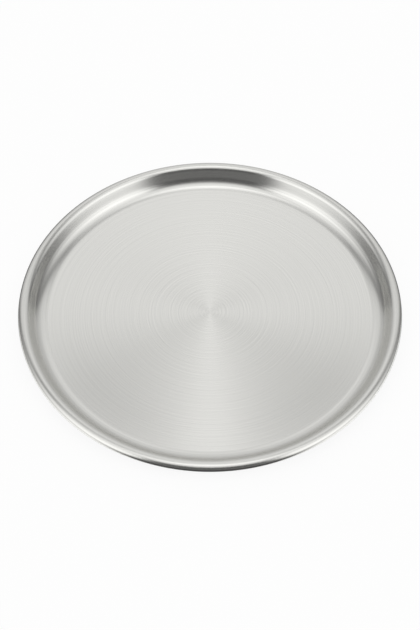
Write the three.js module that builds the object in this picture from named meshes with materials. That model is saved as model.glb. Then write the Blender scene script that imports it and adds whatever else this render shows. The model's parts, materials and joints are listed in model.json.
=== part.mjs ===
// A stainless steel plate: one disc of pressed sheet, with its edge rolled over a hoop of wire.
// Millimetres, +Z up. The origin is the centre of the underside, where the plate meets the table.
import * as THREE from 'three';

const { degToRad } = THREE.MathUtils;

// Driving dimensions of the plate
const rimDiameter = 260; // across the outside of the rolled rim
const sheetThickness = 0.6;
const plateDepth = 10.4; // inside, from the floor up to the top of the rim
const flankSlope = degToRad(54.5); // above the floor
const coveRadius = 11.2; // on the upper face, between floor and flank
const shoulderRadius = 4.65; // on the upper face, where the flank turns over the top of the rim
const shoulderDrop = degToRad(37.5); // how far past level the shoulder turns before the roll starts

// Driving dimensions of the wired edge
const wireDiameter = 2.6;
const wireClearance = 0.3; // all round, between the wire and the sheet rolled over it
const wireButtGap = 1; // between the two ends of the hoop
const rollTurn = degToRad(270); // how far the edge of the sheet turns under after the shoulder

// Fineness of the facets
const facetsAround = 72;
const facetTurn = degToRad(18); // the most that one facet turns in a bend of the sheet
const wireSides = 12;

// Sizes that follow from those above
const wireRadius = wireDiameter / 2;
const rollInside = wireRadius + wireClearance;
const rollOutside = rollInside + sheetThickness;
const rollRadius = rimDiameter / 2 - rollOutside; // of the circle that the wire follows
const bendRise = (coveRadius + shoulderRadius) * (1 - Math.cos(flankSlope)); // of cove and shoulder
const flankLength = (plateDepth - bendRise) / Math.sin(flankSlope);

// The centres of the bends in section, as (radius, height). Where one bend turns into the next, both
// centres lie on the line square to the sheet there.
const shoulderCentre = new THREE.Vector2(
  rollRadius - (shoulderRadius - rollOutside) * Math.sin(shoulderDrop),
  sheetThickness + plateDepth - shoulderRadius,
);
const rollCentre = new THREE.Vector2(
  rollRadius,
  shoulderCentre.y + (shoulderRadius - rollOutside) * Math.cos(shoulderDrop),
);
const coveCentre = new THREE.Vector2(
  shoulderCentre.x
    - (coveRadius + shoulderRadius) * Math.sin(flankSlope) - flankLength * Math.cos(flankSlope),
  sheetThickness + coveRadius,
);

// The three bends of the sheet, from the floor outwards. Each is an arc of the upper face, from one
// slope of the sheet to the next.
const cove = { centre: coveCentre, radius: coveRadius, from: 0, to: flankSlope };
const shoulder = { centre: shoulderCentre, radius: shoulderRadius, from: flankSlope, to: -shoulderDrop };
const roll = { centre: rollCentre, radius: rollOutside, from: -shoulderDrop, to: -shoulderDrop - rollTurn };

// The points of a bend at a depth below the upper face
function bendPoints({ centre, radius, from, to }, depth) {
  const side = Math.sign(to - from); // 1 where the sheet bends up, -1 where it bends down
  const reach = side * radius + depth;
  const steps = Math.ceil(Math.abs(to - from) / facetTurn);
  const points = [];
  for (let i = 0; i <= steps; i += 1) {
    const slope = from + ((to - from) * i) / steps;
    points.push(new THREE.Vector2(
      centre.x + reach * Math.sin(slope),
      centre.y - reach * Math.cos(slope),
    ));
  }
  return points;
}

// One face of the sheet in section, from the middle of the plate to the end of the roll. The roll
// starts where the shoulder ends, so its first point is left out.
function faceLine(depth) {
  return [
    new THREE.Vector2(0, sheetThickness - depth),
    ...bendPoints(cove, depth),
    ...bendPoints(shoulder, depth),
    ...bendPoints(roll, depth).slice(1),
  ];
}

// The pressed sheet: floor, cove, flank, shoulder and roll in one piece. Its section goes out along
// the underside and back along the upper face, and is turned about Y, then stood along Z.
function pressedPlate() {
  const outline = [...faceLine(sheetThickness), ...faceLine(0).reverse()];
  const geometry = new THREE.LatheGeometry(outline, facetsAround);
  geometry.rotateX(Math.PI / 2);
  const stainless = new THREE.MeshStandardMaterial({ color: 0xd4d4cf, roughness: 0.35, metalness: 1 });
  const mesh = new THREE.Mesh(geometry, stainless);
  mesh.name = 'pressed_plate';
  return mesh;
}

// The middle line of the wire: a circle left open where its ends butt
class HoopLine extends THREE.Curve {
  constructor(radius, gap) {
    super();
    this.radius = radius;
    this.gapAngle = gap / radius;
  }

  getPoint(t, target = new THREE.Vector3()) {
    const angle = this.gapAngle / 2 + t * (2 * Math.PI - this.gapAngle);
    return target.set(this.radius * Math.cos(angle), this.radius * Math.sin(angle), 0);
  }
}

// The wire inside the roll, which keeps the thin rim round and stiff. A full circle in a section
// gets two sides for each of its curve segments.
function rimWire() {
  const section = new THREE.Shape().absarc(0, 0, wireRadius, 0, 2 * Math.PI);
  const geometry = new THREE.ExtrudeGeometry(section, {
    extrudePath: new HoopLine(rollRadius, wireButtGap),
    steps: facetsAround,
    curveSegments: wireSides / 2,
    bevelEnabled: false,
  });
  const drawnSteel = new THREE.MeshStandardMaterial({ color: 0xa9abaa, roughness: 0.5, metalness: 1 });
  const mesh = new THREE.Mesh(geometry, drawnSteel);
  mesh.name = 'rim_wire';
  mesh.position.z = rollCentre.y;
  return mesh;
}

const plate = new THREE.Group();
plate.add(pressedPlate(), rimWire());

export default plate;
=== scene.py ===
# %% [markdown]
# # A stainless steel plate
#
# The plate is one disc of thin stainless sheet, pressed to shape, with its edge rolled over a hoop of
# wire. The imported model already holds both pieces at their real size, with coarse facets. This lesson
# gives them a smooth surface, the finish of real steel, a studio to reflect and a camera.
#
# First comes the imported model, as a fixed frame. Nothing here may outgrow it.

# %% Load the imported plate
import json
import math

import bmesh
import bpy
from mathutils import Matrix, Vector


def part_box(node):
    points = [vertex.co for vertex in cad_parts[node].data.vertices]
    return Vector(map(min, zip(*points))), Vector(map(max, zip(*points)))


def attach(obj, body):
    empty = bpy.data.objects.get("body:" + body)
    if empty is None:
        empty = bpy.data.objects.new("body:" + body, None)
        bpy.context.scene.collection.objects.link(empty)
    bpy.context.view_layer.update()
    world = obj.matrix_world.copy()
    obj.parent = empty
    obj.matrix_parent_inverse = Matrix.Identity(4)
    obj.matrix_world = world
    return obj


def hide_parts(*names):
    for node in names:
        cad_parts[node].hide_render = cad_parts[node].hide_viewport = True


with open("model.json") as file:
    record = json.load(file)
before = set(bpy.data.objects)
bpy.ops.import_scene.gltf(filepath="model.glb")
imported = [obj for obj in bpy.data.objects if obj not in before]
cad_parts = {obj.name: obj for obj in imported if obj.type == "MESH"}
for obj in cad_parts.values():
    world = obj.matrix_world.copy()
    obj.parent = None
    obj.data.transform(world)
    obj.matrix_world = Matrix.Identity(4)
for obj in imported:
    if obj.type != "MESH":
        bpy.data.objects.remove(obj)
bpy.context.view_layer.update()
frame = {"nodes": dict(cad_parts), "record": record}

MM = 0.001
print("packed nodes:", sorted(frame["nodes"]))

# %% [markdown]
# ## Sizes
#
# What the frame can tell is read from it: the sheet's thickness is the height of the serving face, and
# the wire's node gives the circle that the rim is rolled round. The bends of the press are not stored as
# numbers anywhere in the frame, so they are written out here, in millimetres and degrees.

# %% Sizes of the sheet and the wire
mounts = {mount["name"]: mount for mount in frame["record"]["mounts"]}
sheet = mounts["serving_face"]["pos_m"][2]
wire_low, wire_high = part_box("rim_wire")
wire_radius = (wire_high.z - wire_low.z) / 2
hoop_radius = -wire_low.x - wire_radius
hoop_height = (wire_high.z + wire_low.z) / 2

plate_depth = 10.4 * MM
flank_slope = math.radians(54.5)
cove_radius = 11.2 * MM
shoulder_radius = 4.65 * MM
shoulder_drop = math.radians(37.5)
wire_clearance = 0.3 * MM
roll_turn = math.radians(270)

roll_outside = wire_radius + wire_clearance + sheet
rim_diameter = 2 * (hoop_radius + roll_outside)
print("sheet %.2f mm, rim %.1f mm across" % (sheet / MM, rim_diameter / MM))

# %% [markdown]
# ## Camera
#
# A steel plate is mostly reflections, and those depend on where the eye is, so the camera comes before
# the looks. It stands in front of the plate, nearly a metre off, and looks down at a little over half a
# right angle. The aim is a few millimetres in front of the middle, which sets the plate in its frame
# without any lens shift. The Standard view shows white as white, where Blender's usual one greys it.

# %% Place the camera
view_elevation = math.radians(53.35)
view_distance = 0.975
aim = Vector((0.0, -0.00253, sheet))
lens_mm = 81.47
sensor_mm = 36.0

camera_data = bpy.data.cameras.new("plate_camera")
camera_data.sensor_width = sensor_mm
camera_data.lens = lens_mm
camera = bpy.data.objects.new("plate_camera", camera_data)
towards_eye = Vector((0.0, -math.cos(view_elevation), math.sin(view_elevation)))
camera.location = Vector((0.0, 0.0, sheet)) + towards_eye * view_distance
camera.rotation_euler = (aim - camera.location).to_track_quat("-Z", "Y").to_euler()
bpy.context.scene.collection.objects.link(camera)
bpy.context.scene.camera = camera
bpy.context.scene.view_settings.view_transform = "Standard"
print("camera at", [round(place, 3) for place in camera.location])

# %% [markdown]
# ## A pen for the section
#
# A pressed round plate is a shape of revolution. Its section could be typed in as a list of points, but
# a section is easier to read as a walk: so far along the floor, up through the cove, up the flank, over
# the shoulder and round the wire. A small pen does that walk with two operators. Extruding the tip draws
# a straight stretch, and spinning the tip about a centre draws a true arc.

# %% A pen that draws sections
class SectionPen:
    """Draws a section in the XZ plane. Its tip is the last vertex, and slope is where it heads."""

    def __init__(self, bm, radius, height):
        self.bm = bm
        self.tip = bmesh.ops.create_vert(bm, co=(radius, 0.0, height))["vert"][0]
        self.slope = 0.0

    def forward(self, length, steps):
        stride = Vector((math.cos(self.slope), 0.0, math.sin(self.slope))) * (length / steps)
        for _ in range(steps):
            self.tip = bmesh.ops.extrude_vert_indiv(self.bm, verts=[self.tip])["verts"][0]
            bmesh.ops.translate(self.bm, verts=[self.tip], vec=stride)

    def bend(self, radius, turn, steps):
        up = Vector((-math.sin(self.slope), 0.0, math.cos(self.slope)))
        centre = self.tip.co + up * math.copysign(radius, turn)
        made = bmesh.ops.spin(
            self.bm, geom=[self.tip], cent=centre, axis=(0.0, -1.0, 0.0), angle=turn, steps=steps
        )
        self.tip = next(part for part in made["geom_last"] if isinstance(part, bmesh.types.BMVert))
        self.slope += turn


print("a pen with two moves: forward and bend")

# %% [markdown]
# ## The walk along the upper face
#
# The pen starts in the middle of the plate and draws the face that food lies on. The depth, the slope and
# the bends are given, and the walk has to end round the wire, so two lengths are left to work out. The
# flank takes the height that the two bends leave, and the floor takes the width that all the rest leaves.
# The bends get many short steps and the straight stretches few, because only a bend would show facets.

# %% Draw the upper face of the sheet
bend_rise = (cove_radius + shoulder_radius) * (1 - math.cos(flank_slope))
flank_length = (plate_depth - bend_rise) / math.sin(flank_slope)
shoulder_middle = hoop_radius - (shoulder_radius - roll_outside) * math.sin(shoulder_drop)
bend_width = (cove_radius + shoulder_radius) * math.sin(flank_slope)
floor_radius = shoulder_middle - bend_width - flank_length * math.cos(flank_slope)

plate_bm = bmesh.new()
pen = SectionPen(plate_bm, 0.0, sheet)
pen.forward(floor_radius, steps=8)
pen.bend(cove_radius, flank_slope, steps=20)
pen.forward(flank_length, steps=5)
pen.bend(shoulder_radius, -flank_slope - shoulder_drop, steps=24)
pen.bend(roll_outside, -roll_turn, steps=48)
print("floor radius %.2f mm, section of %d points" % (floor_radius / MM, len(plate_bm.verts)))

# %% [markdown]
# ## Spinning the sheet
#
# One spin about the upright axis turns the section into the plate. A Screw modifier could do that too, but
# the operator gives real faces at once, and each of them can be put in a slot: the floor, which gets
# brushed, or everything outside it, which gets polished. The middle point is spun along with the rest, so
# its copies are merged into one pole, and only then are the faces turned to point up.

# %% Spin the section into a plate
STEPS_ROUND = 256
MERGE_DISTANCE = 0.001 * MM
FLOOR_SLOT, RIM_SLOT = 0, 1


def close_spin(bm):
    """Merges the points that a spin leaves in one place, then turns the faces one way."""
    bmesh.ops.remove_doubles(bm, verts=bm.verts[:], dist=MERGE_DISTANCE)
    bmesh.ops.recalc_face_normals(bm, faces=bm.faces[:])


bmesh.ops.spin(
    plate_bm, geom=plate_bm.verts[:] + plate_bm.edges[:], cent=(0, 0, 0), axis=(0, 0, 1),
    angle=2 * math.pi, steps=STEPS_ROUND, use_merge=True,
)
close_spin(plate_bm)
floor_face = min(plate_bm.faces, key=lambda face: face.calc_center_median().length)
if floor_face.normal.z < 0:
    bmesh.ops.reverse_faces(plate_bm, faces=plate_bm.faces[:])
for face in plate_bm.faces:
    face.smooth = True
    face.material_index = FLOOR_SLOT if face.calc_center_median().xy.length < floor_radius else RIM_SLOT
print("upper side of the sheet:", len(plate_bm.faces), "faces")

# %% [markdown]
# ## The gauge of the sheet
#
# So far the plate is a skin. A second skin could be drawn below it, but a Solidify modifier keeps an even
# gauge round every bend by itself, and an offset of -1 leaves the upper face where it was drawn. It also
# moves the slots of the underside on by two, so that the underside can have finishes of its own. A small
# Bevel takes the sharpness off the sheared edge under the rim.

# %% Give the sheet its gauge
UNDERSIDE_SLOT = 2
edge_ease = 0.12 * MM


def add_piece(name, bm):
    """Puts a finished bmesh into the scene as an object at the origin."""
    mesh = bpy.data.meshes.new(name)
    bm.to_mesh(mesh)
    bm.free()
    piece = bpy.data.objects.new(name, mesh)
    bpy.context.scene.collection.objects.link(piece)
    return piece


plate = add_piece("pressed_sheet", plate_bm)
gauge = plate.modifiers.new("sheet gauge", "SOLIDIFY")
gauge.thickness = sheet
gauge.offset = -1.0
gauge.use_even_offset = True
gauge.material_offset = UNDERSIDE_SLOT
eased = plate.modifiers.new("eased sheared edge", "BEVEL")
eased.width = edge_ease
eased.segments = 2
eased.limit_method = "ANGLE"
eased.angle_limit = math.radians(60)
print(plate.name, "with", [modifier.name for modifier in plate.modifiers])

# %% [markdown]
# ## The wire in the rim
#
# The rim is stiff because its edge is rolled over a hoop of wire. Almost nothing of the wire shows, only
# a line of it in the slot under the rim, but a piece that is there is made like any other. A torus would
# have no ends, and a real hoop has two. So a filled circle is stood up at the hoop's radius and spun nearly
# all the way round, and the two ends of the wire butt with a millimetre between them.

# %% Spin the wire
WIRE_SIDES, WIRE_STEPS = 24, 192
wire_butt_gap = 1.0 * MM
gap_angle = wire_butt_gap / hoop_radius

wire_bm = bmesh.new()
bmesh.ops.create_circle(wire_bm, cap_ends=True, radius=wire_radius, segments=WIRE_SIDES)
stand_up = Matrix.Rotation(math.radians(90), 3, "X")
bmesh.ops.rotate(wire_bm, verts=wire_bm.verts[:], cent=(0, 0, 0), matrix=stand_up)
bmesh.ops.translate(wire_bm, verts=wire_bm.verts[:], vec=(hoop_radius, 0.0, hoop_height))
half_gap = Matrix.Rotation(gap_angle / 2, 3, "Z")
bmesh.ops.rotate(wire_bm, verts=wire_bm.verts[:], cent=(0, 0, 0), matrix=half_gap)
bmesh.ops.spin(
    wire_bm, geom=wire_bm.verts[:] + wire_bm.edges[:] + wire_bm.faces[:], cent=(0, 0, 0),
    axis=(0, 0, 1), angle=2 * math.pi - gap_angle, steps=WIRE_STEPS,
)
close_spin(wire_bm)
for face in wire_bm.faces:
    face.smooth = len(face.verts) == 4
open_edges = sum(edge.is_boundary for edge in wire_bm.edges)
print("wire: volume %.0f mm3, open edges %d" % (wire_bm.calc_volume() / MM**3, open_edges))
wire = add_piece("wire_hoop", wire_bm)

# %% [markdown]
# ## Helpers for nodes
#
# Finishes and room are both made of shader nodes. Written out in full, each node takes a line to add it
# and one more for every link, and the idea is lost among them. So one helper adds a node and links it: an
# input is a value, or what another node puts out. Two more are built on it, for arithmetic and for easing
# from one level to another.

# %% Add a node, reckon, ease
def add_node(tree, kind, inputs=None, **settings):
    """A new node. Each input, by name or place, is a value or what another node puts out."""
    node = tree.nodes.new(kind)
    for setting, value in settings.items():
        setattr(node, setting, value)
    for socket, value in (inputs or {}).items():
        if isinstance(value, bpy.types.NodeSocket):
            tree.links.new(value, node.inputs[socket])
        else:
            node.inputs[socket].default_value = value
    return node


def reckon(operation, *values):
    """A Math node, in the tree that its values come from. Some of them may be plain numbers."""
    tree = next(value.id_data for value in values if isinstance(value, bpy.types.NodeSocket))
    return add_node(tree, "ShaderNodeMath", dict(enumerate(values)), operation=operation).outputs[0]


def ease(value, start, end, low=0.0, high=1.0):
    """Eases from low to high while the value goes from start to end."""
    limits = {"Value": value, "From Min": start, "From Max": end, "To Min": low, "To Max": high}
    node = add_node(value.id_data, "ShaderNodeMapRange", limits, interpolation_type="SMOOTHSTEP")
    return node.outputs["Result"]


print("helpers for nodes: add_node, reckon and ease")

# %% [markdown]
# ## Lines left by turning
#
# The floor was brushed and the rim polished while the plate turned, so both carry fine lines that run
# round the axis. A flat noise would look like sand. Here the noise is read in the plate's own terms: the
# direction from the axis, which changes slowly along a line, and the distance out and up, which changes
# fast across the lines. Direction is used in place of an angle, because an angle has a seam.
#
# Noise also has broad waves, which would look like ripples. So a line is the step between two readings of
# the noise, half a line apart: broad waves are nearly alike in both, and drop out. Several finishes need
# these lines, so they are one node group with its own inputs.

# %% Node group: turned lines
def read_from_axis(tree):
    """A point's place on its piece, the flat vector to it from the axis, and that vector's length."""
    place = add_node(tree, "ShaderNodeTexCoord").outputs["Object"]
    flat = {0: place, 1: (1.0, 1.0, 0.0)}
    outwards = add_node(tree, "ShaderNodeVectorMath", flat, operation="MULTIPLY").outputs[0]
    length = add_node(tree, "ShaderNodeVectorMath", {0: outwards}, operation="LENGTH")
    return place, outwards, length.outputs["Value"]


def make_turned_lines():
    """The group puts out 0.5 between the lines, less on a low line and more on a high one."""
    group = bpy.data.node_groups.new("turned_lines", "ShaderNodeTree")
    for name in ("Lines per metre", "Breaks per turn"):
        group.interface.new_socket(name, in_out="INPUT", socket_type="NodeSocketFloat")
    group.interface.new_socket("Line", in_out="OUTPUT", socket_type="NodeSocketFloat")
    given = add_node(group, "NodeGroupInput").outputs
    place, outwards, distance = read_from_axis(group)
    direction = add_node(group, "ShaderNodeVectorMath", {0: outwards}, operation="NORMALIZE").outputs[0]
    turning = {0: direction, "Scale": given["Breaks per turn"]}
    along = add_node(group, "ShaderNodeVectorMath", turning, operation="SCALE").outputs[0]
    height = add_node(group, "ShaderNodeSeparateXYZ", {0: place}).outputs["Z"]
    across = reckon("MULTIPLY", distance, given["Lines per metre"])
    upwards = reckon("MULTIPLY", height, given["Lines per metre"])
    shift = add_node(group, "ShaderNodeCombineXYZ", {"Z": across}).outputs[0]
    where = add_node(group, "ShaderNodeVectorMath", {0: along, 1: shift}, operation="ADD").outputs[0]
    half_a_line = {0: where, 1: (0.0, 0.0, 0.5)}
    beside = add_node(group, "ShaderNodeVectorMath", half_a_line, operation="ADD").outputs[0]
    readings = []
    for spot in (where, beside):
        grain = {"Vector": spot, "W": upwards, "Scale": 1.0, "Detail": 1.0}
        noise = add_node(group, "ShaderNodeTexNoise", grain, noise_dimensions="4D")
        readings.append(noise.outputs["Fac"])
    line = reckon("ADD", reckon("SUBTRACT", *readings), 0.5)
    add_node(group, "NodeGroupOutput", {"Line": line})
    return group


turned_lines = make_turned_lines()
print("group:", turned_lines.name, "with", len(turned_lines.nodes), "nodes")

# %% [markdown]
# ## What the finishes share
#
# A brushed surface is rough across its lines and nearly smooth along them, which is what anisotropy
# means. The Tangent socket says which way the surface is rough, and Object coordinates already point away
# from the axis, so they go straight in. The lines also shift the colour, the roughness and the relief a
# little. Stainless steel is a warm grey: a small share of the blue is missing.

# %% Start a steel, brush it, add its lines
STEEL_WARMTH = 0.035


def grey(level, warmth=0.0):
    """A grey, or a warm one where some of the blue is taken away."""
    return (level * (1 + warmth / 8), level, level * (1 - warmth), 1.0)


def new_steel(name, anisotropy):
    """A metal material and its shader. What is the same all over it is set on the shader itself."""
    finish = bpy.data.materials.new(name)
    finish.use_nodes = True
    shader = finish.node_tree.nodes["Principled BSDF"]
    shader.inputs["Metallic"].default_value = 1.0
    shader.inputs["Anisotropic"].default_value = anisotropy
    return finish, shader


def roughen_outwards(shader):
    """Turns the rough direction of a brushed finish to point away from the axis."""
    tree = shader.id_data
    place = add_node(tree, "ShaderNodeTexCoord")
    tree.links.new(place.outputs["Object"], shader.inputs["Tangent"])


def add_lines(shader, lines, breaks, dark, light, rough, smooth, relief):
    """Turned lines in the colour, the roughness and the relief: the low ones are dark and rough."""
    tree = shader.id_data
    counts = {"Lines per metre": lines, "Breaks per turn": breaks}
    line = add_node(tree, "ShaderNodeGroup", counts, node_tree=turned_lines).outputs["Line"]
    tint = add_node(tree, "ShaderNodeMix", {"Factor": line, "A": dark, "B": light}, data_type="RGBA")
    grip = add_node(tree, "ShaderNodeMapRange", {"Value": line, "To Min": rough, "To Max": smooth})
    bump = add_node(tree, "ShaderNodeBump", {"Height": line, "Strength": 1.0, "Distance": relief})
    tree.links.new(tint.outputs["Result"], shader.inputs["Base Color"])
    tree.links.new(grip.outputs["Result"], shader.inputs["Roughness"])
    tree.links.new(bump.outputs["Normal"], shader.inputs["Normal"])


print("helpers for finishes: grey, new_steel, roughen_outwards and add_lines")

# %% [markdown]
# ## The brushed floor
#
# A floor that was brushed in circles shows soft fans of light that meet in its middle. They could be
# painted on, but then they would stay where they are when the eye moves. A strong anisotropy makes them
# out of the room's own light, and the fine rings are the turned lines.

# %% Brush the floor
brushed, brushed_shader = new_steel("brushed_floor", anisotropy=0.93)
roughen_outwards(brushed_shader)
add_lines(
    brushed_shader, lines=1000, breaks=1.0, dark=grey(0.685, STEEL_WARMTH), light=grey(0.78, STEEL_WARMTH),
    rough=0.18, smooth=0.13, relief=0.008 * MM,
)
print(brushed.name, "with", len(brushed.node_tree.nodes), "nodes")

# %% [markdown]
# ## The polished rim
#
# Cove, flank and rim were polished while the plate turned, and still carry faint lines. The die of the
# press left a faint ring near the upper end of the cove. The ring is far too low to be worth facets, so it
# is a second bump, which takes the normal of the first and adds to it.

# %% Polish the rim and mark it
press_mark_radius = floor_radius + 8.0 * MM


def add_press_mark(shader, radius, width, relief):
    """A low ring that the press left round the axis, on top of the relief that is there already."""
    tree = shader.id_data
    distance = read_from_axis(tree)[2]
    ring = ease(reckon("ABSOLUTE", reckon("SUBTRACT", distance, radius)), width, 0.0)
    lines_normal = shader.inputs["Normal"].links[0].from_socket
    stacked = {"Height": ring, "Normal": lines_normal, "Strength": 1.0, "Distance": relief}
    bump = add_node(tree, "ShaderNodeBump", stacked)
    tree.links.new(bump.outputs["Normal"], shader.inputs["Normal"])


polished, polished_shader = new_steel("polished_rim", anisotropy=0.8)
roughen_outwards(polished_shader)
add_lines(
    polished_shader, lines=900, breaks=0.4, dark=grey(0.63, STEEL_WARMTH), light=grey(0.73, STEEL_WARMTH),
    rough=0.23, smooth=0.17, relief=0.006 * MM,
)
add_press_mark(polished_shader, press_mark_radius, width=0.5 * MM, relief=0.02 * MM)
print(polished.name, "with", len(polished.node_tree.nodes), "nodes")

# %% [markdown]
# ## The underside and the wire
#
# Nobody polishes the underside of the floor, so it keeps the dull grey that the sheet came from the mill
# with. The wire was drawn through a die, which leaves it darker, with short lines. Both are the same
# recipe with other numbers. The sheet then gets its four slots in order: floor and rim above, the mill
# finish under the floor, and the polish again under the rim.

# %% Leave the underside dull and the wire drawn
mill, mill_shader = new_steel("mill_underside", anisotropy=0.3)
roughen_outwards(mill_shader)
add_lines(
    mill_shader, lines=900, breaks=1.0, dark=grey(0.54, STEEL_WARMTH), light=grey(0.62, STEEL_WARMTH),
    rough=0.46, smooth=0.34, relief=0.004 * MM,
)
drawn, drawn_shader = new_steel("drawn_wire", anisotropy=0.0)
add_lines(
    drawn_shader, lines=2500, breaks=6.0, dark=grey(0.42), light=grey(0.52),
    rough=0.5, smooth=0.36, relief=0.004 * MM,
)
for finish in (brushed, polished, mill, polished):
    plate.data.materials.append(finish)
wire.data.materials.append(drawn)
print("finishes:", [finish.name for finish in plate.data.materials], wire.data.materials[0].name)

# %% [markdown]
# ## The floor under the plate
#
# The plate stands on a white table that is lit from below. So the pale floor glows by itself and takes
# only a little of the room's light, which leaves the shadow of the rim faint. Reflections don't see this
# floor: the room has a table of its own for them. It lies a hair lower than the plate's underside,
# because two faces in one plane make a patchy mess of each other.

# %% Pale floor
FLOOR_HALF = 6.0
FLOOR_DROP = 0.05 * MM
FLOOR_PAINT = grey(0.1)
FLOOR_GLOW = 0.903

floor_bm = bmesh.new()
bmesh.ops.create_grid(floor_bm, x_segments=1, y_segments=1, size=FLOOR_HALF)
bmesh.ops.translate(floor_bm, verts=floor_bm.verts[:], vec=(0.0, 0.0, -FLOOR_DROP))
floor = add_piece("pale_floor", floor_bm)
pale = bpy.data.materials.new("pale_floor")
pale.use_nodes = True
pale_shader = pale.node_tree.nodes["Principled BSDF"]
pale_shader.inputs["Base Color"].default_value = FLOOR_PAINT
pale_shader.inputs["Roughness"].default_value = 1.0
pale_shader.inputs["Specular IOR Level"].default_value = 0.0
pale_shader.inputs["Emission Color"].default_value = grey(1.0)
pale_shader.inputs["Emission Strength"].default_value = FLOOR_GLOW
floor.data.materials.append(pale)
floor.visible_glossy = False
print("floor of", 2 * FLOOR_HALF, "m")

# %% [markdown]
# ## The room
#
# Polished steel has hardly any colour of its own: it shows the room. Lamps and panels could be stood round
# the plate, but a room is easier to shape when it is painted on the dome of the world, in two angles. The
# bearing is 0 straight behind the plate and 180 at the camera, alike to the left and to the right, and the
# rise is the height above the horizon. Both are in degrees.
#
# The room is a white tent: a back wall with rounded corners, a roof, and a lamp shining through each side
# wall. It is painted in layers, so two more helpers take light away and lay one part over another.

# %% Bearing and rise
world = bpy.data.worlds.new("white_tent")
world.use_nodes = True
bpy.context.scene.world = world
room = world.node_tree


def dim(light, share):
    """Takes a share of the light away."""
    return reckon("MULTIPLY", light, reckon("SUBTRACT", 1.0, share))


def cover(under, over, mask):
    """Lays one part of the room over another, where the mask is 1."""
    return reckon("ADD", under, reckon("MULTIPLY", mask, reckon("SUBTRACT", over, under)))


gaze = add_node(room, "ShaderNodeTexCoord").outputs["Generated"]
split = add_node(room, "ShaderNodeSeparateXYZ", {0: gaze}).outputs
bearing = reckon("DEGREES", reckon("ABSOLUTE", reckon("ARCTAN2", split["X"], split["Y"])))
rise = reckon("DEGREES", reckon("ARCSINE", split["Z"]))
print("bearing and rise done,", len(room.nodes), "nodes")

# %% [markdown]
# ## The back wall
#
# Seen from the camera, the floor of the plate mostly mirrors the back wall. The wall is brightest straight
# behind the plate and darker towards its foot, most of all near its corners. An image could hold such a
# wall, but a few eased steps do it too, and each of them is moved by changing one number.

# %% Paint the back wall
low_corners = reckon("MULTIPLY", ease(bearing, 2.0, 26.0, low=0.75), ease(bearing, 68.0, 44.0))
foot_shade = reckon("MULTIPLY", low_corners, ease(rise, 42.0, 6.0, high=0.31))
back_wall = dim(ease(bearing, 99.0, -7.0, low=0.67, high=0.98), foot_shade)
print("back wall done,", len(room.nodes), "nodes")

# %% [markdown]
# ## The side walls and the roof
#
# A lamp stands behind the cloth on either side, and one hangs over the roof. A lamp seen through cloth is
# a soft round patch of light, which depends only on the angle between it and the way one looks. One patch
# serves both sides, because the left half of the room is read as a mirror image of the right one. The foot
# of the side walls is dark towards the back.

# %% Light the side walls and the roof
mirrored = {"X": reckon("ABSOLUTE", split["X"]), "Y": split["Y"], "Z": split["Z"]}
either_side = add_node(room, "ShaderNodeCombineXYZ", mirrored).outputs[0]


def glow(bearing_degrees, rise_degrees, spread, low, high):
    """A lamp behind the cloth, alike on either side: high where it stands, low past its spread."""
    turn, lift = math.radians(bearing_degrees), math.radians(rise_degrees)
    towards = (math.sin(turn) * math.cos(lift), math.cos(turn) * math.cos(lift), math.sin(lift))
    facing = add_node(room, "ShaderNodeVectorMath", {0: either_side, 1: towards}, operation="DOT_PRODUCT")
    away = reckon("DEGREES", reckon("ARCCOSINE", facing.outputs["Value"]))
    return ease(away, spread, 0.0, low, high)


side_lamp = glow(119.0, 44.0, spread=58.0, low=0.42, high=1.56)
skirting = reckon("MULTIPLY", ease(bearing, 106.0, 80.0), ease(rise, 22.0, 3.0, high=0.62))
roof_lamp = glow(0.0, 80.0, spread=22.0, low=1.05, high=1.65)
roof = reckon("MULTIPLY", roof_lamp, ease(rise, 59.8, 60.5))
outer_walls = reckon("MAXIMUM", dim(side_lamp, skirting), roof)
print("side walls and roof done,", len(room.nodes), "nodes")

# %% [markdown]
# ## The seam
#
# The back wall is sewn to the rest of the tent along a dark seam with rounded corners. A plain rectangle
# in bearing and rise would have sharp ones. Raising both to the same power and adding them gives a
# rounded rectangle instead: the sum's root is 1 all along the wall's edge, less inside it and more outside.
# The root serves twice, to set the back wall into the room and to shade the cloth on both sides of it.

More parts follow.
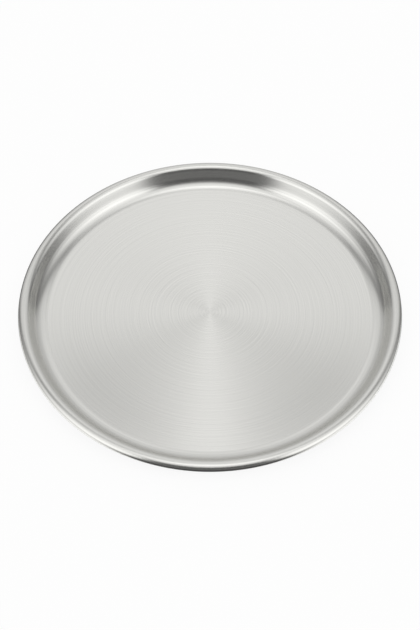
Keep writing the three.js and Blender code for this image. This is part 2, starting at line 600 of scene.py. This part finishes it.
# %% Sew in the back wall
seam_bearing, seam_rise, squareness = 53.8, 60.3, 5.2
seam_inner, seam_middle, seam_outer = 0.83, 0.99, 1.4
across = reckon("POWER", reckon("DIVIDE", bearing, seam_bearing), squareness)
upwards = reckon("POWER", reckon("DIVIDE", reckon("MAXIMUM", rise, 0.0), seam_rise), squareness)
from_back = reckon("POWER", reckon("ADD", across, upwards), 1 / squareness)
walls = cover(outer_walls, back_wall, ease(from_back, 1.0, 0.96))

inside_clear = ease(from_back, seam_middle, seam_inner)
outside_clear = ease(from_back, seam_middle, seam_outer)
seam_depth = reckon("MULTIPLY", ease(rise, 10.0, 45.0, low=0.27, high=0.43), ease(bearing, 2.0, 7.0))
seam = dim(seam_depth, reckon("MAXIMUM", inside_clear, outside_clear))
sewn = dim(walls, seam)
print("seam done,", len(room.nodes), "nodes")

# %% [markdown]
# ## The table and the open front
#
# Below the horizon lies the table, dark at the back corners and bright at the sides, where the lamps fall
# on it. The front of the tent is open and dark, because the camera looks in there. Past a certain height
# its edges lean outwards, up to the roof. Both are laid over the walls as patches with soft edges.

# %% Lay the table and open the front
table_edge = ease(bearing, 10.0, 28.0, low=0.6, high=0.06)
table_sides = reckon("MULTIPLY", ease(bearing, 44.0, 72.0, high=1.25), ease(bearing, 146.0, 118.0))
table = reckon("ADD", table_edge, table_sides)
closed = cover(sewn, table, ease(rise, 4.0, -4.0))

lean_start, lean_rate = 55.0, 1.8
lean = reckon("MULTIPLY", reckon("MAXIMUM", reckon("SUBTRACT", rise, lean_start), 0.0), lean_rate)
front = reckon("MULTIPLY", ease(reckon("ADD", bearing, lean), 136.0, 151.0), ease(rise, 73.0, 58.0))
front_foot = ease(rise, 5.0, 14.0, low=0.09, high=0.24)
front_level = reckon("MULTIPLY", front_foot, ease(rise, 18.0, 34.0, low=1.0, high=0.42))
brightness = cover(closed, front_level, front)
sky = room.nodes["Background"]
sky.inputs["Color"].default_value = grey(1.0)
room.links.new(brightness, sky.inputs["Strength"])
print("room painted with", len(room.nodes), "nodes")

# %% [markdown]
# ## Hand over
#
# The plate has no moving parts, so both pieces ride on its one body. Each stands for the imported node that
# it was made after, and takes the place of that node's coarse mesh.

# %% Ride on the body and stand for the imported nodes
for piece, node, slot in ((plate, "pressed_plate", "stainless_sheet"), (wire, "rim_wire", "rim_wire")):
    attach(piece, "root")
    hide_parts(node)
    print(piece.name, "stands for", node)
